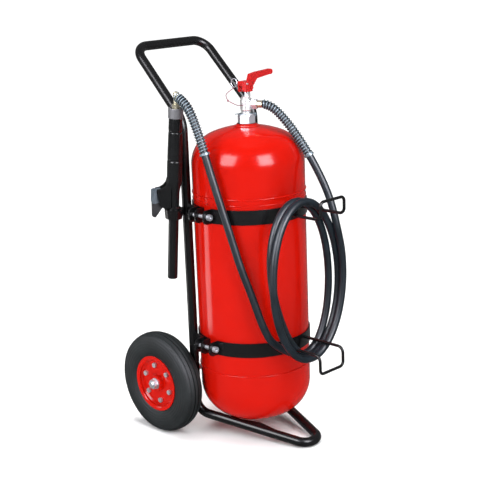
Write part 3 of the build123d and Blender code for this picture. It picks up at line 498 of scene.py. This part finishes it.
# at the gun the guard runs on past the hose, over the elbow's arm
elbow_point = hose_path[-1] + (hose_path[-1] - hose_path[-2]).normalized() * (GUN_GUARD_OVERHANG + 0.002)
gun_guard = wire_guard(
    "gun_guard_wire",
    [*hose_path, elbow_point],
    HOSE_LENGTH - GUN_GUARD_LENGTH,
    HOSE_LENGTH + GUN_GUARD_OVERHANG,
)
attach(gun_guard, "gun")
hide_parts("gun_hose_guard")

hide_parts("hose_valve_run", "hose_coil", "hose_gun_run", "hose_gun_tail")
# only the gun's end of the hose reaches this far left and up
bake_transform(hose)

# the lanyard is two lengths that meet at a knot, so that each crosses one joint
LOWER_LANYARD = [
    (-0.0142, -0.0076, 0.903),
    (-0.020, -0.004, 0.9015),
    (-0.028, 0.008, 0.901),
    tuple(KNOT),
]
UPPER_LANYARD = [
    tuple(KNOT),
    (-0.034, 0.041, 0.924),
    (-0.024, 0.042, 0.933),
    (-0.008, 0.033, 0.9436),
]


def lanyard_length(name, points):
    cord, path = mesh_tube(spline_object(name, points, CORD_R), MATERIALS["red_cord"])
    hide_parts("lanyard")
    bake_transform(cord)


def knot_piece():
    """A small lumpy knot."""
    mesh = bpy.data.meshes.new("lanyard_knot")
    body = bmesh.new()
    bmesh.ops.create_icosphere(body, subdivisions=3, radius=KNOT_R)
    for vertex in body.verts:
        swell = 1 + 0.22 * sin(5 * vertex.co.x / 0.002 + 2 * vertex.co.z / 0.002)
        vertex.co = vertex.co * swell
        vertex.co.z *= 1.25
    bmesh.ops.translate(body, verts=body.verts, vec=KNOT)
    body.to_mesh(mesh)
    body.free()
    mesh.materials.append(MATERIALS["red_cord"])
    mesh.shade_smooth()
    made = bpy.data.objects.new("lanyard_knot", mesh)
    bpy.context.scene.collection.objects.link(made)
    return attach(made, "valve_lever")


knot = knot_piece()
lanyard_length(
    "lanyard_lower", LOWER_LANYARD,
)
lanyard_length(
    "lanyard_upper", UPPER_LANYARD,
)


# ---------------------------------------------------------------- valve spring
def valve_spring():
    """The steel spring under the valve's piston, wound at full length and fixed to the root."""
    low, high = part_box("valve_spring")
    foot, head = low.z + SPRING_WIRE_R, high.z - SPRING_WIRE_R
    count = WIRE_STEPS * SPRING_TURNS
    points = []
    for index in range(count + 1):
        angle = 2 * pi * SPRING_TURNS * index / count
        height = foot + (head - foot) * index / count
        points.append((SPRING_HELIX_R * cos(angle), SPRING_HELIX_R * sin(angle), height))
    wire = spline_object("valve_spring_wire", points, SPRING_WIRE_R, 2)
    spring, _ = mesh_tube(wire, MATERIALS["spring_steel"])
    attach(spring, "root")
    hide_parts("valve_spring")
    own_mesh(spring)


valve_spring()


# ---------------------------------------------------------------- floor and light
def floor_sheet():
    """A pale studio sweep."""
    mesh = bpy.data.meshes.new("floor")
    body = bmesh.new()
    bmesh.ops.create_grid(body, x_segments=8, y_segments=8, size=FLOOR_HALF)
    body.to_mesh(mesh)
    body.free()
    floor = bpy.data.objects.new("floor", mesh)
    bpy.context.scene.collection.objects.link(floor)
    paper = Shader("studio_paper", 0.9)
    paper.colour(paper.ramp(paper.noise(1.5, 2), [(0.3, (0.93, 0.93, 0.93)), (0.7, (0.95, 0.95, 0.95))]))
    mesh.materials.append(paper.material)
    # the gloss sees a darker room than the paper, as it does between studio screens
    floor.visible_glossy = False


def softbox(name, place, target, size, power, tint=(1, 1, 1), lights=True):
    """A lit panel; with lights off it shows in the gloss only."""
    lamp = bpy.data.lights.new(name, "AREA")
    lamp.shape = "RECTANGLE"
    lamp.size, lamp.size_y = size
    lamp.energy = power
    lamp.color = tint
    made = bpy.data.objects.new(name, lamp)
    bpy.context.scene.collection.objects.link(made)
    made.visible_diffuse = lights
    made.location = place
    made.rotation_euler = (Vector(target) - Vector(place)).to_track_quat("-Z", "Y").to_euler()


def soft_sun(place, strength, spread_deg):
    """A broad even light from one side of the sky."""
    lamp = bpy.data.lights.new("sky_panel", "SUN")
    lamp.energy = strength
    lamp.angle = radians(spread_deg)
    made = bpy.data.objects.new("sky_panel", lamp)
    bpy.context.scene.collection.objects.link(made)
    made.rotation_euler = (-Vector(place)).to_track_quat("-Z", "Y").to_euler()
    made.visible_glossy = False


floor_sheet()
soft_sun((0.4, 0.1, 3.0), SUN_STRENGTH, SUN_SPREAD_DEG)
for window, place in WINDOW_PLACES:
    softbox(window + "_window", place, WINDOW_TARGET, WINDOW_SIZE, WINDOW_POWER)
    softbox(window + "_shine", place, WINDOW_TARGET, WINDOW_SIZE, SHINE_POWER, SHINE_TINT, False)
softbox("strip", STRIP_PLACE, STRIP_TARGET, STRIP_SIZE, STRIP_POWER)
world = bpy.data.worlds.new("studio")
bpy.context.scene.world = world
world.use_nodes = True
backdrop = world.node_tree.nodes["Background"]
backdrop.inputs["Color"].default_value = (1, 1, 1, 1)
# the room lights the object dimly, and shows as plain white behind it
seen = world.node_tree.nodes.new("ShaderNodeLightPath").outputs["Is Camera Ray"]
level = world.node_tree.nodes.new("ShaderNodeMapRange")
level.inputs["To Min"].default_value = ROOM_STRENGTH
level.inputs["To Max"].default_value = 1.0
world.node_tree.links.new(seen, level.inputs["Value"])
world.node_tree.links.new(level.outputs["Result"], backdrop.inputs["Strength"])
bpy.context.scene.view_settings.view_transform = "Standard"
